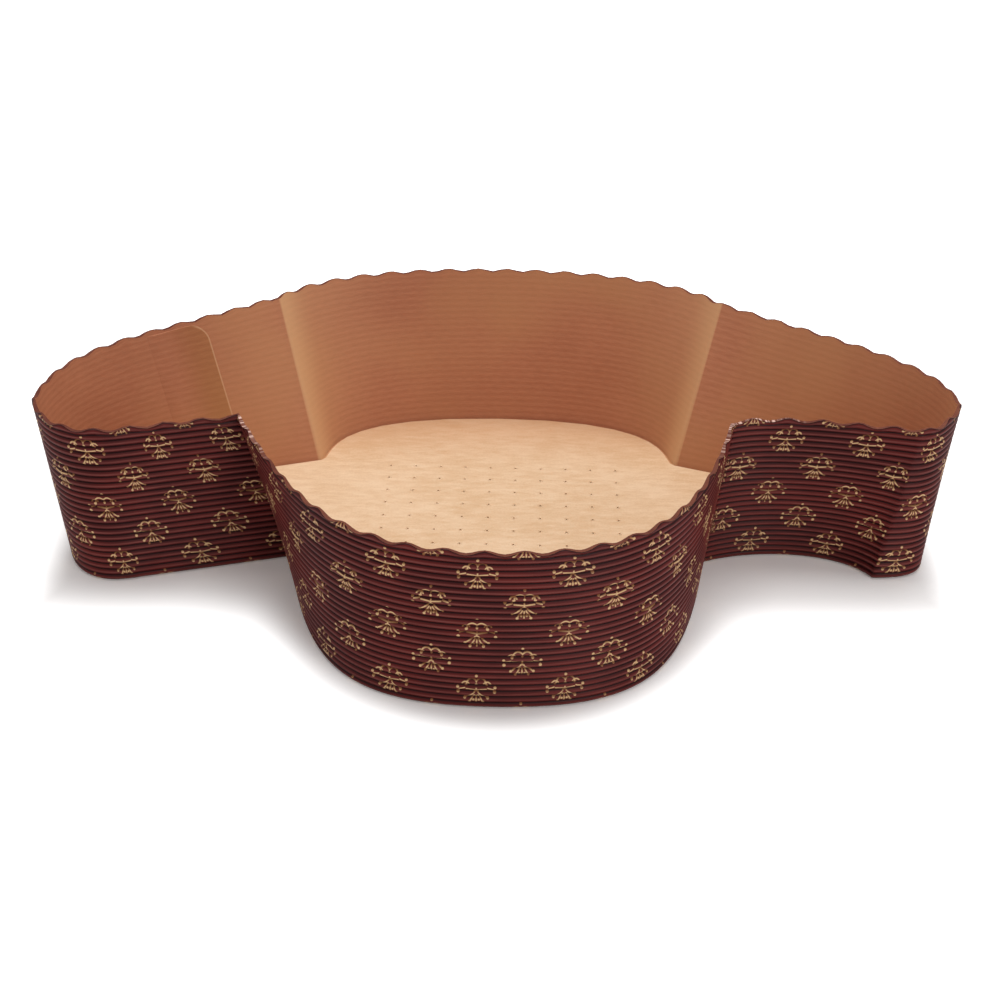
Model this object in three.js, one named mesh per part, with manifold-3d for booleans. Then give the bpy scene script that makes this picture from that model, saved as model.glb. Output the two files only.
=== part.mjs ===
// Paper baking mold for a dove-shaped cake, in millimetres with +Z up.
// The wing span runs along X, the front lobe points to -Y, the foot stands on z = 0.
import * as THREE from 'three';
import { mergeVertices } from 'three/addons/utils/BufferGeometryUtils.js';
import Module from 'manifold-3d';

const wasm = await Module();
wasm.setup();
const { Manifold, Mesh: SolidMesh } = wasm;

// Overall size
const HEIGHT = 54.6;
const HALF_SPAN = 142.5;
const BACK_REACH = 112.6;
const FRONT_REACH = 86.2;

// The wall: one corrugated strip, ribs outside and smooth inside
const WALL = 1.3;
const RIB_COUNT = 26;
const RIB_DEPTH = 0.7;
const SCALLOP_COUNT = 74;
const SCALLOP_DEPTH = 1.2;
const SCALLOP_STEP = 2.9;
const INNER_BANDS = 5;

// The foot: the strip folds round under the base as a row of glue tabs
const FOLD_RADIUS = 1.6;
const FOLD_STEPS = 3;
const TAB_THICKNESS = 0.9;
const TAB_WIDTH = 7;
const TAB_ROOT = 2.4;
const TAB_SLIT = 0.9;
const TAB_RADIUS_SHARE = 0.45;
const SLIT_SHARE = 0.3;

// The glued overlap of the two strip ends, on the back of the left wing
const LAP_START = 0.22;
const LAP_END = 0.41;
const LAP_THICKNESS = 0.45;
const LAP_SINK = 0.25;
const LAP_CORNER = 9;
const LAP_CORNER_STEP = 22.5;
const LAP_BELOW_RIM = 1.7;

// The base sheet with its lattice of vent holes
const SHEET = 0.4;
const SHEET_CLEARANCE = 0.35;
const VENT_PITCH = 8.65;
const VENT_TURN = -1.1;
const VENT_COLUMNS = 10;
const VENT_ROWS = 12;
const VENT_FIRST = [-38.9, -34.3];
const VENT_RADIUS = 0.4;
const VENT_SIDES = 5;

// The plan, counter-clockwise from the left neck. Each panel is one smooth curve:
// where it starts, its two handles, and how many flat facets stand for it.
// foot is the line on the ground, rim the line at full height.
const PANELS = [
  { name: 'lobe left', facets: 11,
    foot: [[-65.5, 0], [-55.4, -57.5], [-46.6, -79.8]],
    rim: [[-78.9, -8.6], [-58.9, -55.2], [-46, -FRONT_REACH]] },
  { name: 'lobe right', facets: 11,
    foot: [[0, -79.8], [46.6, -79.8], [55.4, -57.5]],
    rim: [[0, -FRONT_REACH], [46, -FRONT_REACH], [58.9, -55.2]] },
  { name: 'right wing front', facets: 6,
    foot: [[65.5, 0], [80.4, 8.5], [109.4, 9.3]],
    rim: [[70.8, -7.6], [85.8, -1.2], [112.4, -9.4]] },
  { name: 'right wing tip', facets: 5,
    foot: [[117.9, -7.7], [137.8, -7.7], [135.6, 2.2]],
    rim: [[126.9, -10.7], [134, -10.7], [HALF_SPAN, 5.4]] },
  { name: 'right wing back', facets: 7,
    foot: [[135.6, 12.2], [135.6, 36], [97.7, 51.5]],
    rim: [[HALF_SPAN, 8.3], [HALF_SPAN, 37.8], [116.6, 51.6]] },
  { name: 'back right', facets: 10,
    foot: [[62.7, 65.4], [58.4, 65.6], [68.3, 99.9]],
    rim: [[77.1, 84.4], [76, 84.6], [64.9, BACK_REACH]] },
  { name: 'back left', facets: 10,
    foot: [[0, 99.9], [-68.3, 99.9], [-58.4, 65.6]],
    rim: [[0, BACK_REACH], [-64.9, BACK_REACH], [-76, 84.6]] },
  { name: 'left wing back', facets: 7,
    foot: [[-62.7, 65.4], [-97.7, 53.5], [-136, 38.6]],
    rim: [[-77.1, 84.4], [-115, 51.6], [-HALF_SPAN, 42.1]] },
  { name: 'left wing tip', facets: 6,
    foot: [[-136, 5.6], [-136, 1.3], [-131.2, -22.1]],
    rim: [[-HALF_SPAN, 1.7], [-HALF_SPAN, 1.9], [-136.8, -26.2]] },
  { name: 'left wing front', facets: 2,
    foot: [[-110.8, -13.9], [-95.7, -9.3], [-80.6, -4.6]],
    rim: [[-111, -18], [-100.3, -14.8], [-89.6, -11.7]] },
];

const RIB_PITCH = HEIGHT / RIB_COUNT;
const PLAN_CENTRE = (BACK_REACH - FRONT_REACH) / 2;
const LAP_PANEL = 'left wing back';

const point = ([x, y]) => new THREE.Vector2(x, y - PLAN_CENTRE);

function outline(level) {
  const line = [];
  PANELS.forEach((panel, i) => {
    const next = PANELS[(i + 1) % PANELS.length];
    const [start, handleA, handleB] = panel[level].map(point);
    const curve = new THREE.CubicBezierCurve(start, handleA, handleB, point(next[level][0]));
    line.push(...curve.getPoints(panel.facets).slice(0, -1));
  });
  return line;
}

// Outward direction at each corner of the outline, lengthened so that the faces stay parallel
function outward(line) {
  const count = line.length;
  return line.map((here, i) => {
    const before = line[(i + count - 1) % count];
    const after = line[(i + 1) % count];
    const sideA = here.clone().sub(before).normalize();
    const sideB = after.clone().sub(here).normalize();
    const normalA = new THREE.Vector2(sideA.y, -sideA.x);
    const normalB = new THREE.Vector2(sideB.y, -sideB.x);
    const middle = normalA.clone().add(normalB).normalize();
    return middle.multiplyScalar(1 / middle.dot(normalA));
  });
}

const FOOT = outline('foot');
const RIM = outline('rim');
const FOOT_OUT = outward(FOOT);
const RIM_OUT = outward(RIM);
const COLUMNS = FOOT.length;

// A point of the wall: column may lie between two corners, depth is measured inwards
function wallPoint(column, z, depth) {
  const low = Math.floor(column);
  const share = column - low;
  const at = (list) => list[low % COLUMNS].clone().lerp(list[(low + 1) % COLUMNS], share);
  const rise = z / HEIGHT;
  const place = at(FOOT).lerp(at(RIM), rise);
  const out = at(FOOT_OUT).lerp(at(RIM_OUT), rise);
  return new THREE.Vector3(place.x - out.x * depth, place.y - out.y * depth, z);
}

// Points and triangles of one closed body
class Shell {
  constructor() {
    this.points = [];
    this.faces = [];
  }

  add(vector) {
    this.points.push(vector.x, vector.y, vector.z);
    return this.points.length / 3 - 1;
  }

  quad(a, b, c, d) {
    this.faces.push(a, b, c, a, c, d);
  }

  // Joins one long edge a-b to a finer chain of points that runs beside it
  fan(a, b, chain, flip) {
    const half = Math.floor((chain.length - 1) / 2);
    const put = (p, q, r) => this.faces.push(...(flip ? [p, r, q] : [p, q, r]));
    for (let j = 0; j < half; j += 1) put(a, chain[j + 1], chain[j]);
    put(a, b, chain[half]);
    for (let j = half; j < chain.length - 1; j += 1) put(b, chain[j + 1], chain[j]);
  }

  geometry() {
    const shape = new THREE.BufferGeometry();
    shape.setAttribute('position', new THREE.Float32BufferAttribute(this.points, 3));
    shape.setIndex(this.faces);
    return shape;
  }
}

// Section of the outer face from the rim down to the ground, as [height, depth] rows
function outerSection() {
  const rows = [];
  for (let half = 2 * RIB_COUNT - 2; half * RIB_PITCH / 2 > FOLD_RADIUS; half -= 1) {
    rows.push([half * RIB_PITCH / 2, half % 2 === 0 ? RIB_DEPTH : 0]);
  }
  for (let step = 1; step <= FOLD_STEPS; step += 1) {
    const angle = (step / FOLD_STEPS) * Math.PI / 2;
    const z = FOLD_RADIUS * (1 - Math.sin(angle));
    rows.push([z, FOLD_RADIUS * (1 - Math.cos(angle))]);
  }
  return rows;
}

// Evenly spaced heights that divide the smooth side into bands
function levels(bottom, top) {
  return Array.from({ length: INNER_BANDS + 1 }, (_, k) => (
    THREE.MathUtils.lerp(bottom, top, k / INNER_BANDS)));
}

const ring = (shell, z, depth) => FOOT.map((_, i) => shell.add(wallPoint(i, z, depth)));

// The rim: each facet is split finely enough for the wavy cut edge
function rimChains(shell, depth) {
  const lengths = RIM.map((here, i) => here.distanceTo(RIM[(i + 1) % COLUMNS]));
  const round = lengths.reduce((sum, length) => sum + length, 0);
  const fine = [];
  const starts = [];
  let run = 0;
  lengths.forEach((length, i) => {
    starts.push(fine.length);
    const parts = Math.max(1, Math.round(length / SCALLOP_STEP));
    for (let j = 0; j < parts; j += 1) {
      const phase = 2 * Math.PI * SCALLOP_COUNT * (run + length * j / parts) / round;
      const z = HEIGHT - SCALLOP_DEPTH * (1 - Math.cos(phase)) / 2;
      fine.push(shell.add(wallPoint(i + j / parts, z, depth)));
    }
    run += length;
  });
  const chains = starts.map((start, i) => {
    const end = i + 1 < COLUMNS ? starts[i + 1] : fine.length;
    return [...fine.slice(start, end), fine[end % fine.length]];
  });
  return { fine, chains };
}

// How far the glue tab reaches in at each corner: less where the wall turns tightly
function tabReach() {
  return FOOT.map((here, i) => {
    const before = FOOT[(i + COLUMNS - 1) % COLUMNS];
    const after = FOOT[(i + 1) % COLUMNS];
    const sideA = here.clone().sub(before);
    const sideB = after.clone().sub(here);
    const turn = Math.atan2(sideA.cross(sideB), sideA.dot(sideB));
    const radius = turn > 0 ? (sideA.length() + sideB.length()) / 2 / turn : Infinity;
    return Math.max(TAB_ROOT, Math.min(TAB_WIDTH, TAB_RADIUS_SHARE * radius));
  });
}

// Inner edge of the tabs at one height: a narrow slit at each corner, a tab between
function tabChains(shell, z) {
  const reach = tabReach();
  const ends = FOOT.map((here, i) => here.clone().addScaledVector(FOOT_OUT[i], -reach[i]));
  const roots = FOOT.map((here, i) => here.clone().addScaledVector(FOOT_OUT[i], -TAB_ROOT));
  const put = (place) => shell.add(new THREE.Vector3(place.x, place.y, z));
  const rootIds = roots.map(put);
  return ends.map((start, i) => {
    const next = (i + 1) % COLUMNS;
    const length = start.distanceTo(ends[next]);
    const gap = Math.min(TAB_SLIT / 2 / length, SLIT_SHARE);
    const first = put(start.clone().lerp(ends[next], gap));
    const last = put(start.clone().lerp(ends[next], 1 - gap));
    return [rootIds[i], first, last, rootIds[next]];
  });
}

function wallShell() {
  const shell = new Shell();
  const rows = outerSection().map(([z, depth]) => ring(shell, z, depth));
  const inner = levels(TAB_THICKNESS, HEIGHT - RIB_PITCH).map((z) => ring(shell, z, WALL));
  const innerFoot = inner[0];
  const innerTop = inner[INNER_BANDS];
  const rimOut = rimChains(shell, 0);
  const rimIn = rimChains(shell, WALL);
  const tabsUnder = tabChains(shell, 0);
  const tabsOver = tabChains(shell, TAB_THICKNESS);
  const ground = rows[rows.length - 1];
  for (let i = 0; i < COLUMNS; i += 1) {
    const next = (i + 1) % COLUMNS;
    for (let r = 0; r + 1 < rows.length; r += 1) {
      shell.quad(rows[r + 1][i], rows[r + 1][next], rows[r][next], rows[r][i]);
    }
    for (let r = 0; r < INNER_BANDS; r += 1) {
      shell.quad(inner[r][next], inner[r][i], inner[r + 1][i], inner[r + 1][next]);
    }
    shell.fan(rows[0][i], rows[0][next], rimOut.chains[i], false);
    shell.fan(innerTop[i], innerTop[next], rimIn.chains[i], true);
    shell.fan(ground[i], ground[next], tabsUnder[i], true);
    shell.fan(innerFoot[i], innerFoot[next], tabsOver[i], false);
    for (let j = 0; j < 3; j += 1) {
      shell.quad(tabsUnder[i][j + 1], tabsUnder[i][j], tabsOver[i][j], tabsOver[i][j + 1]);
    }
  }
  rimOut.fine.forEach((outer, j) => {
    const after = (j + 1) % rimOut.fine.length;
    shell.quad(outer, rimOut.fine[after], rimIn.fine[after], rimIn.fine[j]);
  });
  return shell;
}

// The inner layer of the overlap: a thin plate on the wall with one rounded top corner
function lapShell() {
  const index = PANELS.findIndex((panel) => panel.name === LAP_PANEL);
  const first = PANELS.slice(0, index).reduce((sum, panel) => sum + panel.facets, 0);
  const columnOf = (share) => first + share * PANELS[index].facets;
  const facet = RIM[Math.floor(columnOf(LAP_START))].distanceTo(RIM[Math.ceil(columnOf(LAP_START))]);
  const columns = [];
  for (let angle = 0; angle <= 90; angle += LAP_CORNER_STEP) {
    const turn = THREE.MathUtils.degToRad(angle);
    const drop = LAP_CORNER * (1 - Math.sin(turn));
    columns.push([columnOf(LAP_START) + LAP_CORNER * (1 - Math.cos(turn)) / facet, drop]);
  }
  const last = columnOf(LAP_END);
  const done = columns[columns.length - 1][0];
  for (let column = Math.floor(done) + 1; column < last; column += 1) columns.push([column, 0]);
  columns.push([last, 0]);
  const shell = new Shell();
  const bottom = TAB_THICKNESS + SHEET + SHEET_CLEARANCE;
  const top = HEIGHT - LAP_BELOW_RIM;
  const rings = columns.map(([column, drop]) => {
    const heights = levels(bottom, top - drop);
    const face = (depth) => heights.map((z) => shell.add(wallPoint(column, z, depth)));
    return [...face(WALL + LAP_THICKNESS), ...face(WALL - LAP_SINK).reverse()];
  });
  const around = rings[0].length;
  for (let c = 0; c + 1 < rings.length; c += 1) {
    for (let k = 0; k < around; k += 1) {
      const n = (k + 1) % around;
      shell.quad(rings[c][k], rings[c][n], rings[c + 1][n], rings[c + 1][k]);
    }
  }
  const start = rings[0];
  const end = rings[rings.length - 1];
  for (let k = 0; k < INNER_BANDS; k += 1) {
    const back = around - 1 - k;
    shell.quad(start[back], start[back - 1], start[k + 1], start[k]);
    shell.quad(end[k], end[k + 1], end[back - 1], end[back]);
  }
  return shell;
}

function toSolid(geometry) {
  const bare = geometry.clone();
  bare.deleteAttribute('normal');
  bare.deleteAttribute('uv');
  const joined = mergeVertices(bare, 1e-4);
  return new Manifold(new SolidMesh({
    numProp: 3,
    vertProperties: new Float32Array(joined.attributes.position.array),
    triVerts: new Uint32Array(joined.index.array),
  }));
}

function toGeometry(solid) {
  const mesh = solid.getMesh();
  const geometry = new THREE.BufferGeometry();
  geometry.setAttribute('position', new THREE.Float32BufferAttribute(mesh.vertProperties, 3));
  geometry.setIndex(Array.from(mesh.triVerts));
  return geometry;
}

// One vent hole, a small many-sided opening
function ventHole(column, row) {
  const turn = THREE.MathUtils.degToRad(VENT_TURN);
  const step = new THREE.Vector2(column, row).multiplyScalar(VENT_PITCH);
  const centre = step.rotateAround(new THREE.Vector2(), turn).add(point(VENT_FIRST));
  const hole = new THREE.Path();
  hole.setFromPoints(Array.from({ length: VENT_SIDES }, (_, k) => {
    const angle = -2 * Math.PI * k / VENT_SIDES;
    const reach = new THREE.Vector2(Math.cos(angle), Math.sin(angle));
    return centre.clone().addScaledVector(reach, VENT_RADIUS);
  }));
  return hole;
}

function baseGeometry() {
  const inset = WALL + SHEET_CLEARANCE;
  const edge = FOOT.map((here, i) => here.clone().addScaledVector(FOOT_OUT[i], -inset));
  const shape = new THREE.Shape(edge);
  for (let row = 0; row < VENT_ROWS; row += 1) {
    for (let column = 0; column < VENT_COLUMNS; column += 1) {
      shape.holes.push(ventHole(column, row));
    }
  }
  const sheet = new THREE.ExtrudeGeometry(shape, { depth: SHEET, bevelEnabled: false });
  return sheet.translate(0, 0, TAB_THICKNESS);
}

function part(name, geometry, colour, roughness) {
  const material = new THREE.MeshStandardMaterial({ color: colour, roughness, metalness: 0 });
  const mesh = new THREE.Mesh(geometry, material);
  mesh.name = name;
  return mesh;
}

const wall = toSolid(wallShell().geometry()).add(toSolid(lapShell().geometry()));

const mold = new THREE.Group();
mold.name = 'paper_colomba_mold';
mold.add(part('wall_strip', toGeometry(wall), 0x5a1f27, 0.62));
mold.add(part('base_sheet', baseGeometry(), 0xe6c296, 0.85));

export default mold;
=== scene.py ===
# %% [markdown]
# # A paper mold for a dove-shaped cake
# The mold is one strip of ribbed board bent round the plan of a dove, folded under at the foot and glued
# round a flat base sheet. The solid model comes first and fixes every size; this file gives it its looks.
# It loads that model as a frame and keeps its box.

# %% Load the frame
import math

import bpy
import numpy as np
from mathutils import Matrix, Vector


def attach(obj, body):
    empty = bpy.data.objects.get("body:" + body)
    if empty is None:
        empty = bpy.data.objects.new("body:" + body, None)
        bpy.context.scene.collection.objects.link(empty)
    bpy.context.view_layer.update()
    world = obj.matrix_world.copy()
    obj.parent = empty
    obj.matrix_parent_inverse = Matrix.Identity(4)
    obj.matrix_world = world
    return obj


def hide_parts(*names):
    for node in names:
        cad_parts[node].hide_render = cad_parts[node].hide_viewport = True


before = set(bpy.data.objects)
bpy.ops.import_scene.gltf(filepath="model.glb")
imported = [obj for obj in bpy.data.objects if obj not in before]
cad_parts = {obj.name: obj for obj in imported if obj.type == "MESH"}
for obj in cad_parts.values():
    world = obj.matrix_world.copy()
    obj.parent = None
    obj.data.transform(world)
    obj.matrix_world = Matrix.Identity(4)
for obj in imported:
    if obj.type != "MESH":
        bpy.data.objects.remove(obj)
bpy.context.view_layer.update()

# %% [markdown]
# ## The camera
# The photograph was taken from the front and above with a long lens. Its place was solved from the lattice
# of vent holes and the two outlines, so the angles are kept as numbers here. The matrix is built from
# the view direction: a small turn, a tilt down, and a slight roll of the frame.

# %% Camera
MM = 0.001
FRAME_PIXELS = 1000
FOCAL_PIXELS = 1784.6
SENSOR_MM = 36.0
CAMERA_PLACE = Vector((-1.98, -499.3, 294.6)) * MM
TILT_DOWN = math.radians(29.26)
TURN = math.radians(-0.31)
ROLL = math.radians(-1.07)


def camera_matrix():
    level = Vector((-math.sin(TURN), math.cos(TURN), 0))
    right = Vector((math.cos(TURN), math.sin(TURN), 0))
    ahead = level * math.cos(TILT_DOWN) + Vector((0, 0, -math.sin(TILT_DOWN)))
    above = level * math.sin(TILT_DOWN) + Vector((0, 0, math.cos(TILT_DOWN)))
    side = right * math.cos(ROLL) - above * math.sin(ROLL)
    top = right * math.sin(ROLL) + above * math.cos(ROLL)
    turned = Matrix((side, top, -ahead)).transposed()
    return Matrix.Translation(CAMERA_PLACE) @ turned.to_4x4()


camera_data = bpy.data.cameras.new("photo_camera")
camera_data.sensor_fit = "HORIZONTAL"
camera_data.sensor_width = SENSOR_MM
camera_data.lens = FOCAL_PIXELS / FRAME_PIXELS * SENSOR_MM
camera_data.clip_start = 0.01
camera_data.clip_end = 20
camera = bpy.data.objects.new("photo_camera", camera_data)
camera.matrix_world = camera_matrix()
bpy.context.scene.collection.objects.link(camera)
bpy.context.scene.camera = camera
print("lens", round(camera_data.lens, 2), "mm")

# %% [markdown]
# ## A small language for node trees
# Materials and Geometry Nodes are both made of sockets joined by sums. Wrapping a socket in a class that
# knows +, -, * and / lets a pattern be written as an ordinary expression. Every other node comes from one
# method, which sets the node's own settings first and its sockets after.

# %% Sockets as numbers


class Socket:
    """One output of a node, usable in Python expressions."""

    def __init__(self, net, link):
        self.net = net
        self.link = link

    def sum(self, operation, *others):
        return self.net.math(operation, self, *others)

    def __add__(self, other):
        return self.sum("ADD", other)

    def __sub__(self, other):
        return self.sum("SUBTRACT", other)

    def __mul__(self, other):
        return self.sum("MULTIPLY", other)

    def __truediv__(self, other):
        return self.sum("DIVIDE", other)

    def __pow__(self, other):
        return self.sum("POWER", other)

    def __radd__(self, other):
        return self.sum("ADD", other)

    def __rsub__(self, other):
        return self.net.math("SUBTRACT", other, self)

    def __neg__(self):
        return self.sum("MULTIPLY", -1.0)

    def __abs__(self):
        return self.sum("ABSOLUTE")

    def low(self, other):
        return self.sum("MINIMUM", other)

    def high(self, other):
        return self.sum("MAXIMUM", other)

    def clamped(self):
        return self.sum("MAXIMUM", 0.0).sum("MINIMUM", 1.0)

    def step(self, start, end):
        """0 before start, 1 after end, smooth between."""
        settings = {"interpolation_type": "SMOOTHSTEP"}
        return self.net.node("ShaderNodeMapRange", settings, {0: self, 1: start, 2: end})


class Net:
    """Adds nodes to one tree."""

    def __init__(self, tree):
        self.tree = tree

    def put(self, node, values):
        for key, value in values.items():
            if isinstance(value, Socket):
                self.tree.links.new(value.link, node.inputs[key])
            else:
                node.inputs[key].default_value = value

    def make(self, kind, settings=None, values=None):
        node = self.tree.nodes.new(kind)
        for name, value in (settings or {}).items():
            setattr(node, name, value)
        self.put(node, values or {})
        return node

    def node(self, kind, settings=None, values=None, out=0):
        return Socket(self, self.make(kind, settings, values).outputs[out])

    def math(self, operation, *values):
        return self.node("ShaderNodeMath", {"operation": operation}, dict(enumerate(values)))

    def vector(self, operation, *values, scale=None):
        inputs = dict(enumerate(values))
        if scale is not None:
            inputs["Scale"] = scale
        out = "Value" if operation in ("DOT_PRODUCT", "LENGTH") else 0
        return self.node("ShaderNodeVectorMath", {"operation": operation}, inputs, out)

    def join(self, x, y, z=0.0):
        return self.node("ShaderNodeCombineXYZ", None, {0: x, 1: y, 2: z})

    def parts(self, vector):
        node = self.make("ShaderNodeSeparateXYZ", None, {0: vector})
        return [Socket(self, out) for out in node.outputs]

    def mix(self, share, first, second):
        values = {0: share, 6: first, 7: second}
        return self.node("ShaderNodeMix", {"data_type": "RGBA"}, values, 2)

    def noise(self, place, scale, detail, roughness=0.5):
        values = {"Vector": place, "Scale": scale, "Detail": detail, "Roughness": roughness}
        return self.node("ShaderNodeTexNoise", None, values)


def paint(red, green, blue):
    """A screen colour, 0 to 255, as the linear numbers that a shader takes."""
    def linear(value):
        """Undo the standard curve of a screen."""
        value /= 255
        return value / 12.92 if value <= 0.04045 else ((value + 0.055) / 1.055) ** 2.4
    return (linear(red), linear(green), linear(blue), 1.0)


print("a warm grey as linear numbers:", [round(v, 3) for v in paint(150, 140, 130)])

# %% [markdown]
# ## The plan
# Seen from above, the mold is a chain of ten smooth curves: the front lobe, two wings and the wide back.
# Each has a line on the ground and one at the rim, and the wall is ruled between them. The same curves
# as in the solid model are sampled here, only more finely, so the dressed wall lies on the solid one.

# %% Curves of the plan
HEIGHT = 54.6
HALF_SPAN = 142.5
BACK_REACH = 112.6
FRONT_REACH = 86.2
FINER = 7

# Each panel: its facets in the solid, then a start and two handles on the ground, and the same at the rim.
PANELS = {
    "lobe left": (11, [(-65.5, 0), (-55.4, -57.5), (-46.6, -79.8)],
                  [(-78.9, -8.6), (-58.9, -55.2), (-46, -FRONT_REACH)]),
    "lobe right": (11, [(0, -79.8), (46.6, -79.8), (55.4, -57.5)],
                   [(0, -FRONT_REACH), (46, -FRONT_REACH), (58.9, -55.2)]),
    "right wing front": (6, [(65.5, 0), (80.4, 8.5), (109.4, 9.3)],
                         [(70.8, -7.6), (85.8, -1.2), (112.4, -9.4)]),
    "right wing tip": (5, [(117.9, -7.7), (137.8, -7.7), (135.6, 2.2)],
                       [(126.9, -10.7), (134, -10.7), (HALF_SPAN, 5.4)]),
    "right wing back": (7, [(135.6, 12.2), (135.6, 36), (97.7, 51.5)],
                        [(HALF_SPAN, 8.3), (HALF_SPAN, 37.8), (116.6, 51.6)]),
    "back right": (10, [(62.7, 65.4), (58.4, 65.6), (68.3, 99.9)],
                   [(77.1, 84.4), (76, 84.6), (64.9, BACK_REACH)]),
    "back left": (10, [(0, 99.9), (-68.3, 99.9), (-58.4, 65.6)],
                  [(0, BACK_REACH), (-64.9, BACK_REACH), (-76, 84.6)]),
    "left wing back": (7, [(-62.7, 65.4), (-97.7, 53.5), (-136, 38.6)],
                       [(-77.1, 84.4), (-115, 51.6), (-HALF_SPAN, 42.1)]),
    "left wing tip": (6, [(-136, 5.6), (-136, 1.3), (-131.2, -22.1)],
                      [(-HALF_SPAN, 1.7), (-HALF_SPAN, 1.9), (-136.8, -26.2)]),
    "left wing front": (2, [(-110.8, -13.9), (-95.7, -9.3), (-80.6, -4.6)],
                        [(-111, -18), (-100.3, -14.8), (-89.6, -11.7)]),
}
PLAN_CENTRE = (BACK_REACH - FRONT_REACH) / 2


def outline(level):
    """Points of one closed line of the plan, and the share of the panel that each has passed."""
    names = list(PANELS)
    line = []
    for i, name in enumerate(names):
        facets = PANELS[name][0]
        a, b, c = (np.array(p, float) for p in PANELS[name][level])
        d = np.array(PANELS[names[(i + 1) % len(names)]][level][0], float)
        for t in np.arange(facets * FINER) / (facets * FINER):
            line.append((1 - t) ** 3 * a + 3 * t * (1 - t) ** 2 * b + 3 * t * t * (1 - t) * c + t ** 3 * d)
    return (np.array(line) - [0, PLAN_CENTRE]) * MM


def outward(line):
    """Outward direction at each point, lengthened at a corner so that the faces stay parallel."""
    side = np.roll(line, -1, axis=0) - line
    side /= np.linalg.norm(side, axis=1)[:, None]
    normal = np.stack([side[:, 1], -side[:, 0]], 1)
    before = np.roll(normal, 1, axis=0)
    middle = normal + before
    middle /= np.linalg.norm(middle, axis=1)[:, None]
    return middle / (middle * before).sum(1)[:, None]


foot_line, rim_line = outline(1), outline(2)
foot_out, rim_out = outward(foot_line), outward(rim_line)
columns = len(foot_line)
middle_line = (foot_line + rim_line) / 2
steps = np.linalg.norm(np.roll(middle_line, -1, axis=0) - middle_line, axis=1)
along = np.concatenate([[0], np.cumsum(steps)])
rim_steps = np.linalg.norm(np.roll(rim_line, -1, axis=0) - rim_line, axis=1)
rim_share = np.concatenate([[0], np.cumsum(rim_steps)[:-1]]) / rim_steps.sum()
print(columns, "columns round the strip,", round(along[-1] / MM, 1), "mm at mid height")

# %% [markdown]
# ## Where the print lies on the strip
# The strip was printed flat and then bent, so its pattern keeps its own ruler: a length along the strip
# and a height. At the two necks the board is pinched and the pattern jumps, and on the wings it leans a
# little. The first pairs say which length of the print lies at which length of the wall, and the second
# ones how far the print leans there for each millimetre of height.

# %% Ruler of the print
PRINT_AT_WALL = [(0, 0), (59, 61.9), (87.3, 87.2), (112.5, 112.5), (137.7, 137.8), (164, 163.1),
                 (176.4, 175.8), (234.7, 234), (234.71, 221.5), (251.3, 239), (275.4, 264.3),
                 (297.5, 289.6), (320, 312), (711, 711), (719.5, 719.7), (741, 745), (764.6, 770.3),
                 (767.3, 773)]
LEAN_AT_WALL = [(0, 0), (120, 0), (160, -0.05), (234.7, -0.05), (234.71, -0.075), (310, -0.075),
                (400, 0), (640, 0), (700, 0.15), (767.3, 0.178)]


def print_length(wall_mm, height_mm):
    """Length on the print of a place on the wall, in millimetres."""
    at = np.interp(wall_mm, *zip(*PRINT_AT_WALL))
    lean = np.interp(wall_mm, *zip(*LEAN_AT_WALL))
    return at + lean * (height_mm - HEIGHT / 2)


print("print length at the lobe's middle:", round(float(print_length(112.5, 20)), 1), "mm")

# %% [markdown]
# ## The wall strip: a net that knows its place
# The wall is a closed loop in section: down the outer face, round the fold, in along the glue tab, back,
# and up the smooth inner face. Python lays out that net and stores, at every point, the foot and rim
# places it lies between. Geometry Nodes then make the ribs and the wavy rim from named sizes, which is
# the natural tool for something that repeats twenty-six times up a wall.

# %% Section of the wall
WALL = 1.3
RIB_COUNT = 26
RIB_DEPTH = 0.7
RIB_ROWS = 5
RIBS_FADE_IN = 0.8
FOLD_RADIUS = 1.6
FOLD_STEP = 18
TAB_THICKNESS = 0.9
TAB_WIDTH = 7.0
TAB_ROOT = 2.4
TAB_LEAST = 0.3
TAB_SLIT = 0.2
TAB_SHARE = 0.45
TIGHT_TURN = 0.02
LEAST_TURN = 0.001
INNER_ROWS = 20


def wall_section():
    """Rows of height, inward depth, ribbing and print, from the rim's outer edge round to its inner edge."""
    rows = []
    outer = RIB_COUNT * RIB_ROWS
    for k in range(outer, 0, -1):
        z = HEIGHT * k / outer
        if z > FOLD_RADIUS:
            rows.append((z, 0.0, min(1.0, (z - FOLD_RADIUS) / RIBS_FADE_IN), True))
    for angle in np.radians(range(0, 91, FOLD_STEP)):
        z = FOLD_RADIUS * (1 - math.sin(angle))
        rows.append((z, FOLD_RADIUS * (1 - math.cos(angle)), 0.0, True))
    rows.append((0.0, "root", 0.0, False))
    rows.append((0.0, "tab", 0.0, False))
    rows.append((TAB_THICKNESS, "tab", 0.0, False))
    rows.append((TAB_THICKNESS, "root", 0.0, False))
    for k in range(INNER_ROWS + 1):
        z = TAB_THICKNESS + (HEIGHT - TAB_THICKNESS) * k / INNER_ROWS
        rows.append((z, WALL, 0.0, False))
    return rows


def tab_reach():
    """Reach of the glue tab: less where the wall turns tightly, with a slit at each facet's corner."""
    before = foot_line - np.roll(foot_line, FINER, axis=0)
    after = np.roll(foot_line, -FINER, axis=0) - foot_line
    turn = np.arctan2(before[:, 0] * after[:, 1] - before[:, 1] * after[:, 0], (before * after).sum(1))
    radius = np.linalg.norm(before + after, axis=1) / 2 / np.maximum(turn, LEAST_TURN) / MM
    in_bend = np.clip(TAB_SHARE * radius, TAB_ROOT + TAB_LEAST, TAB_WIDTH)
    reach = np.where(turn > TIGHT_TURN, in_bend, TAB_WIDTH)
    reach[::FINER] = TAB_ROOT + TAB_SLIT
    return reach


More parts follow.
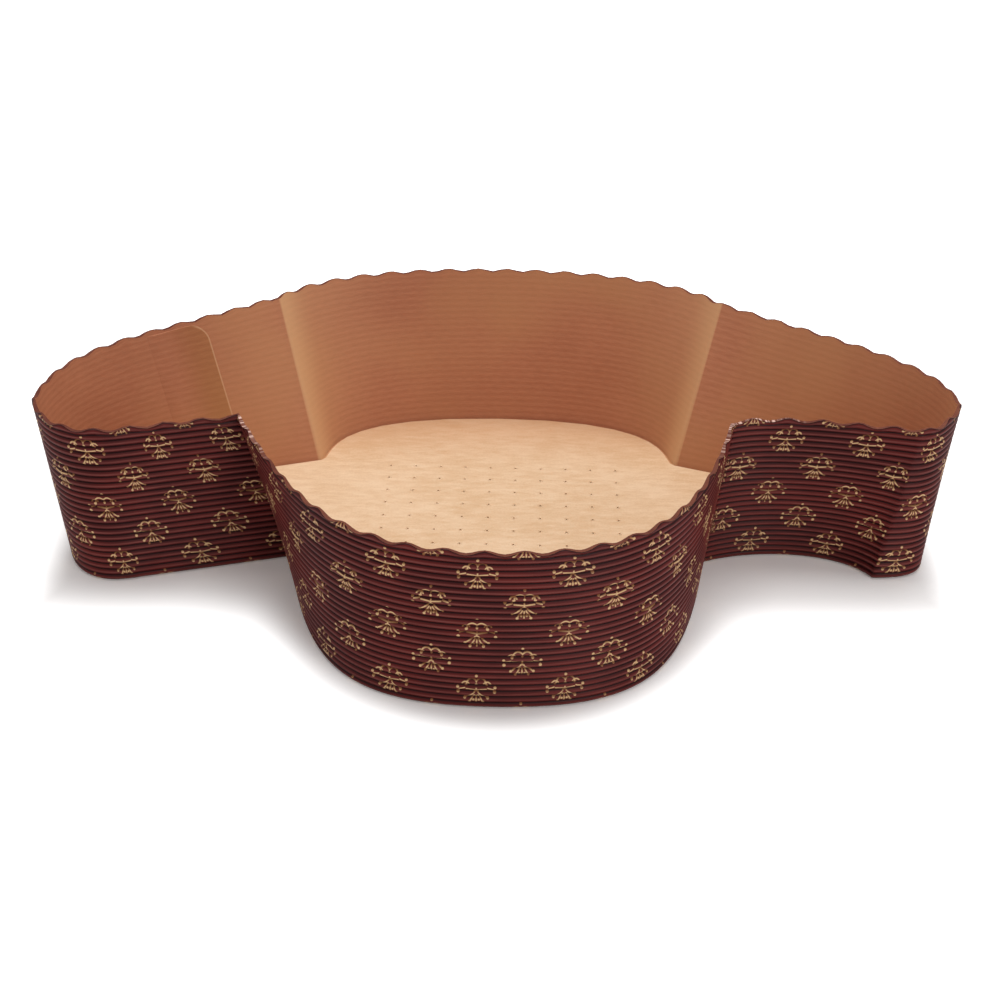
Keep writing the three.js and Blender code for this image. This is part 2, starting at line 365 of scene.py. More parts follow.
section = wall_section()
reach = tab_reach()
print(len(section), "rows in the section,", round(float(reach.max()), 1), "mm widest tab")

# %% [markdown]
# The net has one column of points for each sampled place of the plan. Every point keeps the values that
# the nodes need, and every face knows whether it is printed and whether it is the cut rim.

# %% Net of the wall
POINT_VALUES = ("foot", "rim", "outwards", "height", "inset", "ribbed", "round")
FACE_CHOICES = ("printed", "cut_rim")
HAIR = 0.001


def net_points():
    """Places of the net's points, column by column, and the values that each point keeps."""
    places = []
    kept = {name: [] for name in POINT_VALUES}
    for i in range(columns):
        for z, depth, ribbed, _ in section:
            depth = {"root": TAB_ROOT, "tab": reach[i]}.get(depth, depth)
            share = z / HEIGHT
            out = foot_out[i] * (1 - share) + rim_out[i] * share
            place = foot_line[i] * (1 - share) + rim_line[i] * share - out * depth * MM
            places.append((*place, z * MM))
            kept["foot"].append((*foot_line[i], 0))
            kept["rim"].append((*rim_line[i], 0))
            kept["outwards"].append((*out, 0))
            kept["height"].append(z * MM)
            kept["inset"].append(depth * MM)
            kept["ribbed"].append(ribbed)
            kept["round"].append(rim_share[i])
    return places, kept


def net_faces():
    """Faces between the columns, what each of them is, and the ruler of the print at their corners."""
    count = len(section)
    faces, rulers = [], []
    chosen = {name: [] for name in FACE_CHOICES}
    for i in range(columns):
        j = (i + 1) % columns
        for r in range(count):
            q = (r + 1) % count
            faces.append((i * count + r, i * count + q, j * count + q, j * count + r))
            chosen["printed"].append(section[r][3] and section[q][3])
            chosen["cut_rim"].append(q == 0)
            # The print jumps at a neck, so each corner is read a hair inside its own column.
            for row, edge, inside in ((r, i, HAIR), (q, i, HAIR), (q, i + 1, -HAIR), (r, i + 1, -HAIR)):
                z = section[row][0]
                rulers.append((print_length(along[edge] / MM + inside, z) * MM, z * MM))
    return faces, chosen, rulers


def store(mesh, name, kind, domain, values):
    """Write values to a mesh as a named attribute."""
    layer = mesh.attributes.new(name, kind, domain)
    key = "vector" if kind == "FLOAT_VECTOR" else "value"
    layer.data.foreach_set(key, np.array(values).ravel())


def wall_mesh():
    """The net as a mesh, with all that the nodes and the materials read from it."""
    places, kept = net_points()
    faces, chosen, rulers = net_faces()
    mesh = bpy.data.meshes.new("wall_strip_net")
    mesh.from_pydata(places, [], faces)
    for name, values in kept.items():
        store(mesh, name, "FLOAT_VECTOR" if np.ndim(values[0]) else "FLOAT", "POINT", values)
    for name, values in chosen.items():
        store(mesh, name, "BOOLEAN", "FACE", values)
    ruler = mesh.uv_layers.new(name="ruler")
    ruler.data.foreach_set("uv", np.array(rulers, float).ravel())
    return mesh


net_mesh = wall_mesh()
print("net of the wall:", len(net_mesh.vertices), "points,", len(net_mesh.polygons), "faces")

# %% [markdown]
# ## Printed board
# Outside, the board is printed deep wine red with a small gold sprig, repeated in a half-drop lattice and
# cut off wherever the rim or the foot happens to fall. The sprig here is a plain one made of rings, arcs,
# dashes and dots: each is a distance, the smallest distance wins, and a thin band of it is gold.

# %% Sprig of rings, arcs, dashes and dots
COLUMN_PITCH = 12.65
DROP_PITCH = 20.0
SPRIG_COLUMN = 112.5
SPRIG_HEIGHT = 26.6
OUT_OF_REACH = 3.0
GOLD_EDGE = (0.29, 0.11)


def sprig_cell(net):
    """Millimetres from the middle of the nearest sprig, sideways and upwards, and the ruler in metres."""
    ruler = net.node("ShaderNodeUVMap", {"uv_map": "ruler"})
    length, height, _ = net.parts(ruler)
    place = (length / MM - SPRIG_COLUMN) / COLUMN_PITCH
    column = place.sum("ROUND")
    side = (place - column) * COLUMN_PITCH
    drop = (height / MM - SPRIG_HEIGHT) / DROP_PITCH + column * 0.5
    return side, (drop - drop.sum("ROUND")) * DROP_PITCH, length, height


def sprig(net, side, up):
    """1 on the gold lines, 0 on the bare red. Places and radii are in millimetres from the middle."""
    side = abs(side)

    def far(x, y):
        return net.vector("LENGTH", net.join(side - x, up - y))

    def ring(x, y, radius):
        return abs(far(x, y) - radius)

    def only(distance, keep):
        return distance + (1 - keep) * OUT_OF_REACH

    def dash(x, y, run, rise):
        start = net.join(side - x, up - y)
        share = (net.vector("DOT_PRODUCT", start, (run, rise, 0)) / (run ** 2 + rise ** 2)).clamped()
        nearest = net.vector("SCALE", (run, rise, 0), scale=share)
        return net.vector("LENGTH", net.vector("SUBTRACT", start, nearest))

    crown = only(ring(1.25, 2.6, 1.45), up.step(1.9, 2.1))
    berry = far(0, 2.35) - 0.15
    bud = far(2.9, 2.0) - 0.2
    curl = only(ring(3.0, 2.2, 1.0), up.step(2.3, 2.5))
    spray = only(abs(up - 0.3 - side * 0.13), side.step(3.0, 2.9))
    leaf = only(abs(up - 1.75 + side * 0.25), side.step(2.9, 3.1) * side.step(5.0, 4.9))
    tip = (far(5.2, 1.15) - 0.22).low(far(5.1, -0.55) - 0.25)
    arch = only(ring(0, -0.95, 0.62), up.step(-1.1, -0.9))
    fan = dash(0, -1.7, 0, -2.2).low(dash(0.5, -1.5, 1.1, -2.0)).low(dash(0.85, -1.1, 1.9, -1.35))
    seeds = (far(1.85, -4.0) - 0.2).low(far(3.2, -2.75) - 0.2).low(far(0.75, -3.3) - 0.14)
    stem = only(side, up.step(-0.4, -0.2) * up.step(1.2, 1.0))
    dot = far(0, 5.3) - 0.2
    nearest = crown
    for shape in (berry, bud, curl, spray, leaf, tip, arch, fan, seeds, stem, dot):
        nearest = nearest.low(shape)
    return nearest.step(*GOLD_EDGE)


print("a sprig every", COLUMN_PITCH, "mm along the strip and every", DROP_PITCH, "mm up it")

# %% [markdown]
# The red is cloudy, with painted shade in the grooves between the ribs and a painted highlight, with a little
# rubbing, on their crests. The gold has painted shade in the grooves and a painted highlight on the crests,
# is broken up by fine flecks, and is a little smoother than the red.

# %% Printed board material
RIBS_PER_METRE = RIB_COUNT / (HEIGHT * MM)
DEEP_WINE = paint(84, 22, 21)
PALE_WINE = paint(110, 32, 28)
# Painted shade for the grooves and a painted highlight for the crests of the ribs, in red and in gold.
GROOVE_SHADE_WINE = paint(42, 9, 11)
CREST_HIGHLIGHT_WINE = paint(136, 70, 64)
GROOVE_SHADE_GOLD = paint(150, 100, 62)
CREST_LIT_GOLD = paint(238, 194, 142)


def new_material(name):
    """A material with one shader and nothing else, the net that feeds it, and that shader."""
    material = bpy.data.materials.new(name)
    material.use_nodes = True
    material.node_tree.nodes.clear()
    net = Net(material.node_tree)
    shader = net.make("ShaderNodeBsdfPrincipled")
    end = net.make("ShaderNodeOutputMaterial")
    net.tree.links.new(shader.outputs[0], end.inputs[0])
    return material, net, shader


def printed_board():
    """Wine red board with gold sprigs, drawn on the ruler of the print."""
    material, net, shader = new_material("printed_board")
    side, up, length, height = sprig_cell(net)
    gold = sprig(net, side, up)
    ruler = net.join(length, height)
    blotch = net.noise(net.vector("MULTIPLY", ruler, (1, 1.6, 1)), 38.0, 3.0)
    streak = net.noise(net.vector("MULTIPLY", ruler, (0.15, 3.0, 1)), 600.0, 2.0)
    fleck = net.noise(ruler, 2600.0, 2.0)
    swell = abs((height * (math.pi * RIBS_PER_METRE)).sum("SINE"))
    red = net.mix(blotch.step(0.35, 0.7), DEEP_WINE, PALE_WINE)
    # Painted shade: the red is darker in the grooves between the ribs.
    red = net.mix(swell.step(0.1, 0.75), GROOVE_SHADE_WINE, red)
    # Painted highlight, with a little rubbing: the crests of the ribs are paler.
    crest_highlight = swell.step(0.8, 1.0) * (streak.step(0.3, 0.75) * 0.6 + 0.4)
    red = net.mix(crest_highlight, red, CREST_HIGHLIGHT_WINE)
    # Painted shade and highlight on the gold: duller in the grooves, brighter on the crests.
    lit_and_shaded_gold = net.mix(swell.step(0.3, 0.95), GROOVE_SHADE_GOLD, CREST_LIT_GOLD)
    mark = gold * (fleck.step(0.2, 0.5) * 0.35 + 0.65)
    net.put(shader, {"Base Color": net.mix(mark, red, lit_and_shaded_gold),
                     "Roughness": 0.46 - mark * 0.1 + (fleck - 0.5) * 0.12})
    bump = net.node("ShaderNodeBump", None, {"Strength": 0.12, "Distance": 0.0003, "Height": fleck + streak})
    net.put(shader, {"Normal": bump, "Specular IOR Level": 0.2})
    return material


board_print = printed_board()
print("printed board:", len(board_print.node_tree.nodes), "nodes")

# %% [markdown]
# ## Plain kraft
# The inner face and the glue tabs are unprinted kraft: warm brown, brushed along the strip, with the ribs
# of the outer layer just showing through as faint level lines. Stretched noise gives the fibres, a sine
# of the height gives the lines, and both feed a little bump as well as the colour. Beside the two creases
# of the back a painted highlight makes the board paler, standing in for light on the bent board. The cut rim
# is a darker kraft with painted glints beside the two necks, and the glued overlap is a little browner near
# its cut end.

# %% Kraft material
# Painted highlight beside the back creases: its width, its fade and its colour.
CREASE_LIGHT_WIDTH = 0.014
FADE_WIDTH = 0.05
CREASE_EDGE = 0.0004
CREASE_LIT_KRAFT = paint(222, 176, 128)
TAN_KRAFT = paint(196, 142, 96)
LAP_CORNER = 6.0
LAP_FADE = (4.0, 17.0)
LAP_LINE = (0.65, 0.3)
LAP_TINT = paint(238, 237, 214)
CUT_KRAFT = paint(228, 182, 142)
# Painted glints on the cut rim beside the two necks: where they lie, and their colour.
LEFT_NECK_END = (0.036, 0.012)
RIGHT_NECK_START = (0.205, 0.222)
RIGHT_NECK_END = (0.245, 0.235)
GLINT_KRAFT = paint(236, 196, 180)
LINE_STRENGTH = 0.6
WHITE = (1.0, 1.0, 1.0, 1.0)


def panel_start(name):
    """Column of the strip at which a panel of the plan begins."""
    names = list(PANELS)
    return sum(PANELS[n][0] for n in names[:names.index(name)]) * FINER


crease_right, crease_left = (float(print_length(along[panel_start(name)] / MM, HEIGHT / 2)) * MM
                             for name in ("back right", "left wing back"))
print("creases at", round(crease_right / MM), "and", round(crease_left / MM), "mm along the strip")


def crease_highlight(net, length):
    """Share of painted highlight: most at a crease, on the side of the back, and a little further along."""
    def beside(distance):
        inside = distance.step(-CREASE_EDGE, CREASE_EDGE)
        return inside * (distance.step(CREASE_LIGHT_WIDTH, 0.0) * 0.4 + distance.step(FADE_WIDTH, 0.0) * 0.25)
    return beside(crease_left - length).high(beside(length - crease_right))


def doubled(net, colour):
    """The glued overlap: browner near its cut end, and a thin pale line at the cut itself."""
    place = net.node("ShaderNodeAttribute", {"attribute_name": "lap_place"}, None, "Vector")
    across, below, _ = net.parts(place)
    corner = net.join((LAP_CORNER - across).high(0.0), (LAP_CORNER - below).high(0.0))
    from_cut = LAP_CORNER - net.vector("LENGTH", corner)
    tint = net.mix(across.step(*LAP_FADE), LAP_TINT, WHITE)
    settings = {"data_type": "RGBA", "blend_type": "MULTIPLY"}
    colour = net.node("ShaderNodeMix", settings, {0: 1.0, 6: colour, 7: tint}, 2)
    line = from_cut.step(*LAP_LINE) * across.step(LAP_CORNER * 0.9, LAP_CORNER * 0.4)
    return net.mix(line * 0.5, colour, CUT_KRAFT)


def glinting(net, length, colour):
    """Painted glints on the cut rim beside the two necks: pale flecks that stand in for light caught on the
    edge.
    """
    left_neck = length.step(*LEFT_NECK_END)
    right_neck = length.step(*RIGHT_NECK_START) * length.step(*RIGHT_NECK_END)
    glint = net.noise(net.join(length, 0.0), 900.0, 2.0).step(0.47, 0.6)
    return net.mix(left_neck.high(right_neck) * glint * 0.9, colour, GLINT_KRAFT)


def kraft(name, pale, deep, tanned_and_crease_lit=True, overlap=False):
    """Kraft between a pale and a deep tone: either tanned, with a painted highlight by the creases, or the
    cut rim with painted glints.
    """
    material, net, shader = new_material(name)
    ruler = net.node("ShaderNodeUVMap", {"uv_map": "ruler"})
    length, height, _ = net.parts(ruler)
    cloud = net.noise(ruler, 30.0, 4.0)
    fibre = net.noise(net.vector("MULTIPLY", ruler, (0.35, 2.2, 1)), 900.0, 3.0)
    speck = net.noise(ruler, 3000.0, 2.0)
    line = (height * (2 * math.pi * RIBS_PER_METRE)).sum("SINE") * 0.5 + 0.5
    tone = cloud * 0.35 + fibre * 0.4 + line * (0.2 * LINE_STRENGTH) + speck * 0.15
    colour = net.mix(tone.step(0.25, 0.8), deep, pale)
    if tanned_and_crease_lit:
        colour = net.mix(net.noise(ruler, 14.0, 2.0).step(0.42, 0.68) * 0.45, colour, TAN_KRAFT)
        # Painted highlight: paler board beside the back creases.
        colour = net.mix(crease_highlight(net, length), colour, CREASE_LIT_KRAFT)
    else:
        # Painted glints on the cut rim by the necks.
        colour = glinting(net, length, colour)
    if overlap:
        colour = doubled(net, colour)
    net.put(shader, {"Base Color": colour, "Roughness": 0.62 + (fibre - 0.5) * 0.2})
    grain = line * (0.35 * LINE_STRENGTH) + fibre * 0.5 + speck * 0.2
    bump = net.node("ShaderNodeBump", None, {"Strength": 0.2, "Distance": 0.0002, "Height": grain})
    net.put(shader, {"Normal": bump, "Specular IOR Level": 0.35 if tanned_and_crease_lit else 0.1})
    return material


PALE_KRAFT = paint(194, 130, 96)
DEEP_KRAFT = paint(170, 106, 75)
kraft_inside = kraft("kraft_inside", PALE_KRAFT, DEEP_KRAFT)
rim_edge = kraft("rim_edge", paint(140, 84, 64), paint(84, 36, 30), tanned_and_crease_lit=False)
print("kraft inside:", len(kraft_inside.node_tree.nodes), "nodes")

# %% [markdown]
# ## Ribs and wavy rim by Geometry Nodes
# The tree moves each point of the net: first the height, squeezed below the wavy cut near the rim; then
# the place between foot and rim at that height; then in or out by the rib. The sizes are named inputs, so
# the same tree would make a coarser or finer board.

# %% Rib tree
WAVE_COUNT = 74
WAVE_DEPTH = 1.2
CUT_ZONE = 3.1
RIB_FULLNESS = 0.8


def rib_tree():
    """The tree that makes ribs and a wavy rim from the net, and gives each face its finish."""
    tree = bpy.data.node_groups.new("ribbed_strip", "GeometryNodeTree")
    face = tree.interface
    face.new_socket("Geometry", in_out="OUTPUT", socket_type="NodeSocketGeometry")
    face.new_socket("Geometry", in_out="INPUT", socket_type="NodeSocketGeometry")
    sizes = {"Height": HEIGHT * MM, "Rib Count": RIB_COUNT, "Rib Depth": RIB_DEPTH * MM,
             "Wave Count": WAVE_COUNT, "Wave Depth": WAVE_DEPTH * MM, "Cut Zone": CUT_ZONE * MM}
    for name, value in sizes.items():
        face.new_socket(name, in_out="INPUT", socket_type="NodeSocketFloat").default_value = value
    net = Net(tree)
    start = net.make("NodeGroupInput")
    size = {name: Socket(net, start.outputs[name]) for name in sizes}

    def named(name, kind="FLOAT"):
        return net.node("GeometryNodeInputNamedAttribute", {"data_type": kind}, {"Name": name})

    flat_height, ribbed = named("height"), named("ribbed")
    wave = (named("round") * size["Wave Count"] * (2 * math.pi)).sum("COSINE")
    cut = (1 - wave) * size["Wave Depth"] * 0.5
    above = (flat_height - (size["Height"] - size["Cut Zone"])).high(0.0) / size["Cut Zone"]
    height = flat_height - above * cut
    share = height / size["Height"]
    rib = (share * size["Rib Count"] * math.pi).sum("SINE")
    dip = (1 - abs(rib) ** RIB_FULLNESS) * size["Rib Depth"] * ribbed
    depth = dip + named("inset")
    foot, rim = named("foot", "FLOAT_VECTOR"), named("rim", "FLOAT_VECTOR")
    lean = net.vector("SUBTRACT", rim, foot)
    place = net.vector("ADD", foot, net.vector("SCALE", lean, scale=share))
    inwards = net.vector("SCALE", named("outwards", "FLOAT_VECTOR"), scale=depth)
    x, y, _ = net.parts(net.vector("SUBTRACT", place, inwards))
    shape = Socket(net, start.outputs["Geometry"])
    shape = net.node("GeometryNodeSetPosition", None, {"Geometry": shape, "Position": net.join(x, y, height)})
    shape = net.node("GeometryNodeRealizeInstances", None, {"Geometry": shape})
    printed, cut_rim = named("printed", "BOOLEAN"), named("cut_rim", "BOOLEAN")
    plain = net.node("FunctionNodeBooleanMath", {"operation": "NOT"}, {0: printed})
    for chosen, finish in ((printed, board_print), (plain, kraft_inside), (cut_rim, rim_edge)):
        values = {"Geometry": shape, "Selection": chosen, "Material": finish}
        shape = net.node("GeometryNodeSetMaterial", None, values)
    end = net.make("NodeGroupOutput")
    net.put(end, {"Geometry": shape})
    return tree


def made_by(tree, source_mesh, name):
    """The plain piece that a tree makes from a source mesh."""
    source = bpy.data.objects.new(name + "_source", source_mesh)
    bpy.context.scene.collection.objects.link(source)
    modifier = source.modifiers.new("make", "NODES")
    modifier.node_group = tree
    graph = bpy.context.evaluated_depsgraph_get()
    mesh = bpy.data.meshes.new_from_object(source.evaluated_get(graph), depsgraph=graph)
    bpy.data.objects.remove(source)
    mesh.name = name
    piece = bpy.data.objects.new(name, mesh)
    bpy.context.scene.collection.objects.link(piece)
    return piece


for finish in (board_print, kraft_inside, rim_edge):
    net_mesh.materials.append(finish)
wall = made_by(rib_tree(), net_mesh, "wall")
for spare in POINT_VALUES + FACE_CHOICES:
    layer = wall.data.attributes.get(spare)
    if layer:
        wall.data.attributes.remove(layer)
wall.data.shade_smooth()
wall.data.set_sharp_from_angle(angle=math.radians(50))
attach(wall, "root")
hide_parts("wall_strip")
print("wall:", len(wall.data.polygons), "faces,", [m.name for m in wall.data.materials])

# %% [markdown]
# ## The overlap flap
# The strip's two ends meet on the back of the left wing, where one end is glued over the other on the
# inside. Its cut edge shows as a thin line with a rounded top corner, and the doubled board looks a shade
# browner. A thin plate that follows the wall, tapering away where it passes into the strip, is enough.

# %% Overlap flap
LAP_PANEL = "left wing back"
LAP_START = 0.22
LAP_END = 0.41
LAP_THICKNESS = 0.45
LAP_LIFT = 0.02
LAP_SUNK = 0.2
LAP_TAPER = 2.5
LAP_FOOT = 1.6
LAP_BELOW_RIM = 1.7
LAP_ROWS = 24
LAP_AROUND = 2 * (LAP_ROWS + 1)
CORNER_STOPS = 13

lap_top = HEIGHT - LAP_BELOW_RIM
lap_length = PANELS[LAP_PANEL][0] * FINER
lap_start = panel_start(LAP_PANEL) + LAP_START * lap_length
lap_end = panel_start(LAP_PANEL) + LAP_END * lap_length
column_mm = (along[int(lap_start) + 1] - along[int(lap_start)]) / MM


def wall_point(column, z, depth):
    """Place of a point of the wall, at a column that may fall between two, a height and a depth in."""
    low = int(column)
    part = column - low
    foot, rim, foot_way, rim_way = (line[low % columns] * (1 - part) + line[(low + 1) % columns] * part
                                    for line in (foot_line, rim_line, foot_out, rim_out))
    share = z / HEIGHT
    out = foot_way * (1 - share) + rim_way * share
    place = foot * (1 - share) + rim * share - out * depth * MM
    return (*place, z * MM)


def lap_columns():
    """Columns of the flap from its cut end on, and how far the rounded corner lowers the top of each."""
    stops = [(lap_start + LAP_CORNER * (1 - math.sin(a)) / column_mm, LAP_CORNER * (1 - math.cos(a)))
             for a in np.radians(np.linspace(90, 0, CORNER_STOPS))]
    past_corner = range(int(stops[-1][0]) + 1, int(lap_end))
    return stops + [(float(c), 0.0) for c in past_corner] + [(lap_end, 0.0)]


def lap_places():
    """Points of the flap as column, height and depth, ring by ring: up its face and down behind it."""
    places = []
    for c, drop in lap_columns():
        taper = min(1.0, (lap_end - c) * column_mm / LAP_TAPER)
        raised = WALL + LAP_LIFT + (LAP_THICKNESS - LAP_LIFT) * taper
        heights = np.linspace(LAP_FOOT, lap_top - drop, LAP_ROWS + 1)
        places += [(c, z, raised) for z in heights]
        places += [(c, z, WALL - LAP_SUNK) for z in heights[::-1]]
    return places


def lap_faces(rings):
    """Faces between the rings, and over the two ends."""
    faces = []
    for r in range(rings - 1):
        here, there = r * LAP_AROUND, (r + 1) * LAP_AROUND
        for k in range(LAP_AROUND):
            n = (k + 1) % LAP_AROUND
            faces.append((here + k, here + n, there + n, there + k))
    for r in (0, rings - 1):
        here, there = r * LAP_AROUND, (r + 1) * LAP_AROUND
        for k in range(LAP_ROWS):
            quad = (here + k, here + k + 1, there - 2 - k, there - 1 - k)
            faces.append(quad if r else quad[::-1])
    return faces


def lap_mesh():
    """The flap, with the ruler of the print and each point's distances from the cut end and the top."""
    places = lap_places()
    mesh = bpy.data.meshes.new("overlap_flap")
    mesh.from_pydata([wall_point(*p) for p in places], [], lap_faces(len(places) // LAP_AROUND))
    from_cut = [((c - lap_start) * column_mm, lap_top - z, 0.0) for c, z, _ in places]
    store(mesh, "lap_place", "FLOAT_VECTOR", "POINT", from_cut)
    ruler = mesh.uv_layers.new(name="ruler")
    for face in mesh.polygons:
        for corner, vertex in zip(face.loop_indices, face.vertices):
            c, z, _ = places[vertex]
            at = np.interp(c, np.arange(columns + 1), along) / MM
            ruler.data[corner].uv = (float(print_length(at, z)) * MM, z * MM)
    mesh.materials.append(kraft("kraft_doubled", PALE_KRAFT, DEEP_KRAFT, overlap=True))
    return mesh


flap = bpy.data.objects.new("overlap_flap", lap_mesh())
bpy.context.scene.collection.objects.link(flap)
flap.data.shade_smooth()
flap.data.set_sharp_from_angle(angle=math.radians(40))
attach(flap, "root")
print("overlap flap:", len(flap.data.polygons), "faces")

# %% [markdown]
# ## The base sheet
# The base is a sheet of pale kraft, glued on the tabs. Its shape in the solid model is already right, so
# the solid stays and only gets its finish: a cloudy tan with fine slanting fibres, a painted shade that makes
# it a little darker towards the back, and a soft waxy sheen.

# %% Base sheet material
FIBRE_SLANT = math.radians(35)
# Painted shade towards the back wall: where it starts and ends, and its colour.
BACK_SHADE = (0.045, 0.088)
PALE_TAN = paint(245, 214, 178)
DEEP_TAN = paint(222, 183, 140)
BACK_SHADE_TAN = paint(202, 146, 100)


def base_paper():
    """Cloudy tan paper, drawn on the sheet's own coordinates."""
    material, net, shader = new_material("base_paper")
    place = net.node("ShaderNodeTexCoord", None, None, "Object")
    turned = net.node("ShaderNodeMapping", None, {"Vector": place, "Rotation": (0, 0, FIBRE_SLANT),
                                                  "Scale": (0.45, 1.6, 1)})
    cloud = net.noise(place, 22.0, 4.0)
    fibre = net.noise(turned, 340.0, 4.0, 0.65)
    speck = net.noise(place, 1500.0, 2.0)
    tone = cloud * 0.35 + fibre * 0.45 + speck * 0.2
    colour = net.mix(tone.step(0.32, 0.68), DEEP_TAN, PALE_TAN)
    _, y, _ = net.parts(place)
    # Painted shade: the sheet darkens towards the back wall.
    colour = net.mix(y.step(*BACK_SHADE) * 0.55, colour, BACK_SHADE_TAN)
    net.put(shader, {"Base Color": colour, "Roughness": 0.6 + (fibre - 0.5) * 0.25})
    grain = fibre + cloud * 2 + speck * 0.3
    bump = net.node("ShaderNodeBump", None, {"Strength": 0.3, "Distance": 0.0003, "Height": grain})
    net.put(shader, {"Normal": bump, "Specular IOR Level": 0.4})
    return material


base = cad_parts["base_sheet"]
base.data.materials.clear()
base.data.materials.append(base_paper())
print("base sheet:", len(base.data.polygons), "faces")

# %% [markdown]
# ## Burrs of the vent holes
# Each vent was pricked through the sheet, which leaves a tiny raised lip. One lip is made once and Geometry
# Nodes set a copy of it over every hole of the lattice.

# %% Vent lips
VENT_PITCH = 8.65
VENT_COLUMNS = 10
VENT_ROWS = 12
VENT_FIRST = (-38.9, -34.3 - PLAN_CENTRE)
VENT_TURN = math.radians(-1.1)
SHEET_TOP = 1.3
LIP_SIDES = 10
LIP_PROFILE = [(0.40, 0.0), (0.44, 0.07), (0.55, 0.09), (0.72, 0.04), (0.9, -0.02), (0.42, -0.06)]


def lip_mesh():
    """A low ring round one hole, with its outer skirt just inside the sheet."""
    places, faces = [], []
    for k in range(LIP_SIDES):
        angle = 2 * math.pi * k / LIP_SIDES
        places += [(r * MM * math.cos(angle), r * MM * math.sin(angle), z * MM) for r, z in LIP_PROFILE]
    rows = len(LIP_PROFILE)
    for k in range(LIP_SIDES):
        n = (k + 1) % LIP_SIDES
        for r in range(rows):
            q = (r + 1) % rows
            faces.append((n * rows + r, n * rows + q, k * rows + q, k * rows + r))
    mesh = bpy.data.meshes.new("vent_lip")
    mesh.from_pydata(places, [], faces)
    return mesh


def vent_tree(lip):
    """The tree that sets a copy of the lip over each hole."""
    tree = bpy.data.node_groups.new("vent_lattice", "GeometryNodeTree")
    face = tree.interface
    face.new_socket("Geometry", in_out="OUTPUT", socket_type="NodeSocketGeometry")
    face.new_socket("Geometry", in_out="INPUT", socket_type="NodeSocketGeometry")
    face.new_socket("Pitch", in_out="INPUT", socket_type="NodeSocketFloat").default_value = VENT_PITCH * MM
    face.new_socket("Turn", in_out="INPUT", socket_type="NodeSocketFloat").default_value = VENT_TURN
    net = Net(tree)
    start = net.make("NodeGroupInput")
    pitch, turn = (Socket(net, start.outputs[n]) for n in ("Pitch", "Turn"))
    grid = net.node("GeometryNodeMeshGrid", None, {
        "Size X": pitch * (VENT_COLUMNS - 1), "Size Y": pitch * (VENT_ROWS - 1),
        "Vertices X": VENT_COLUMNS, "Vertices Y": VENT_ROWS})
    corner = net.join(pitch * ((VENT_COLUMNS - 1) / 2), pitch * ((VENT_ROWS - 1) / 2))
    grid = net.node("GeometryNodeTransform", None, {"Geometry": grid, "Translation": corner})
    first = (VENT_FIRST[0] * MM, VENT_FIRST[1] * MM, SHEET_TOP * MM)
    grid = net.node("GeometryNodeTransform", None, {"Geometry": grid, "Translation": first,
                                                    "Rotation": net.join(0.0, 0.0, turn)})
    source = net.node("GeometryNodeObjectInfo", None, {"Object": lip}, "Geometry")
    shape = net.node("GeometryNodeInstanceOnPoints", None, {"Points": grid, "Instance": source})
    shape = net.node("GeometryNodeRealizeInstances", None, {"Geometry": shape})
    shape = net.node("GeometryNodeSetMaterial", None, {"Geometry": shape, "Material": base.data.materials[0]})
    end = net.make("NodeGroupOutput")
    net.put(end, {"Geometry": shape})
    return tree


one_lip = bpy.data.objects.new("one_lip", lip_mesh())
bpy.context.scene.collection.objects.link(one_lip)
lips = made_by(vent_tree(one_lip), bpy.data.meshes.new("nothing"), "vent_lips")
bpy.data.objects.remove(one_lip)
lips.data.shade_smooth()
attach(lips, "root")
print("vent lips:", len(lips.data.polygons), "faces")

# %% [markdown]
# ## Floor, light and background
# The photograph has a white ground with a soft shadow close round the foot. A light floor under a wide
# lamp overhead, a weaker lamp in front and a pale sky give that shadow. Away from the foot the floor turns
# plain white, and the shadow is lifted a little. Both are shown to the camera only and light nothing.

# %% Stage
FLOOR_HALF = 6.0
GREY_FLOOR = (0.7, 0.7, 0.7, 1.0)
BLACK = (0.0, 0.0, 0.0, 1.0)
SHADOW_LIFT = (0.08, 0.065, 0.058, 1.0)
LOBE_HALF_WIDTH = 0.0655
LOBE_REACH = 0.080
PAST_LOBE = (1.0, 1.26)
PAST_TIP = (0.132, 0.152)
BEFORE_TIP = (0.04, -0.01)
PAST_SIDE = (0.14, 0.20)
PAST_FRONT = (0.030, 0.070)
PAST_BACK = (0.11, 0.19)


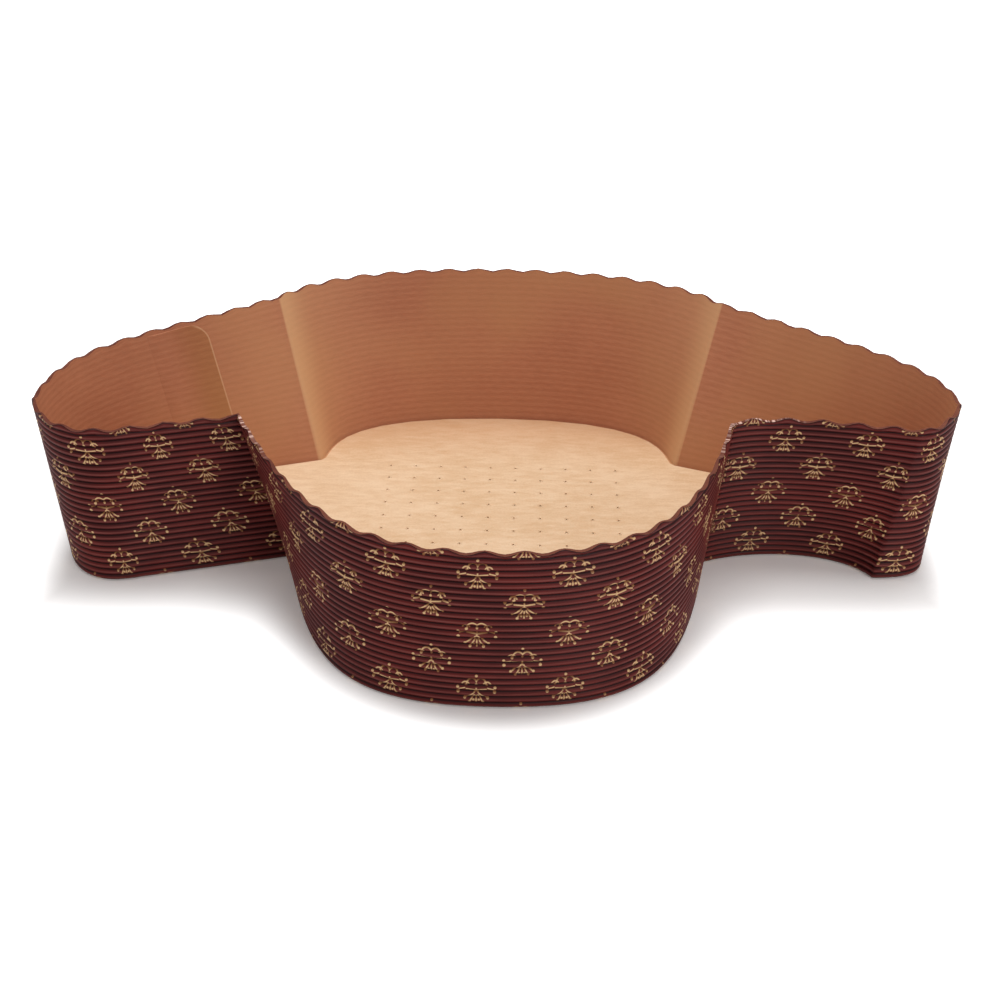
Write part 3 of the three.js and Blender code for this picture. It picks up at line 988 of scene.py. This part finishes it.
def stage_floor():
    """A wide floor, white to the camera beyond the soft shadow and light grey to everything else."""
    mesh = bpy.data.meshes.new("floor")
    h = FLOOR_HALF
    mesh.from_pydata([(-h, -h, 0), (h, -h, 0), (h, h, 0), (-h, h, 0)], [], [(0, 1, 2, 3)])
    floor = bpy.data.objects.new("floor", mesh)
    bpy.context.scene.collection.objects.link(floor)
    material, net, shader = new_material("white_ground")
    seen = net.node("ShaderNodeLightPath", None, None, "Is Camera Ray")
    x, y, _ = net.parts(net.node("ShaderNodeTexCoord", None, None, "Object"))
    from_lobe = net.join(x / LOBE_HALF_WIDTH, (y + PLAN_CENTRE * MM) / LOBE_REACH)
    past_lobe = net.vector("LENGTH", from_lobe).step(*PAST_LOBE)
    past_tips = (abs(x).step(*PAST_TIP) * y.step(*BEFORE_TIP)).high(abs(x).step(*PAST_SIDE))
    past_wings = past_tips.high((-y).step(*PAST_FRONT)).high(y.step(*PAST_BACK))
    ground = net.mix(past_lobe * past_wings, SHADOW_LIFT, WHITE)
    net.put(shader, {"Base Color": net.mix(seen, GREY_FLOOR, WHITE),
                     "Emission Color": net.mix(seen, BLACK, ground), "Emission Strength": 1.0,
                     "Roughness": 1.0, "Specular IOR Level": 0.0})
    mesh.materials.append(material)


def lamp(name, place, aim, size, watts):
    """A square white lamp, its side in metres, that looks at a point."""
    data = bpy.data.lights.new(name, "AREA")
    data.shape = "SQUARE"
    data.size = size
    data.energy = watts
    thing = bpy.data.objects.new(name, data)
    direction = Vector(aim) - Vector(place)
    thing.matrix_world = Matrix.Translation(place) @ direction.to_track_quat("-Z", "Y").to_matrix().to_4x4()
    bpy.context.scene.collection.objects.link(thing)


def sky(strength):
    """An even sky of some strength, which the camera sees as white."""
    world = bpy.data.worlds.new("studio_sky")
    world.use_nodes = True
    world.node_tree.nodes.clear()
    net = Net(world.node_tree)
    seen = net.node("ShaderNodeLightPath", None, None, "Is Camera Ray")
    level = net.node("ShaderNodeMix", {"data_type": "FLOAT"}, {0: seen, 2: strength, 3: 1.0})
    back = net.node("ShaderNodeBackground", None, {"Color": WHITE, "Strength": level})
    end = net.make("ShaderNodeOutputWorld")
    net.put(end, {0: back})
    bpy.context.scene.world = world


stage_floor()
sky(0.5)
lamp("top_lamp", (0.05, 0.25, 1.4), aim=(0, 0, 0), size=0.8, watts=11.0)
lamp("front_lamp", (0.8, -1.2, 0.7), aim=(0, 0, 0.03), size=0.8, watts=4.2)
bpy.context.scene.view_settings.view_transform = "Standard"
print("stage set")
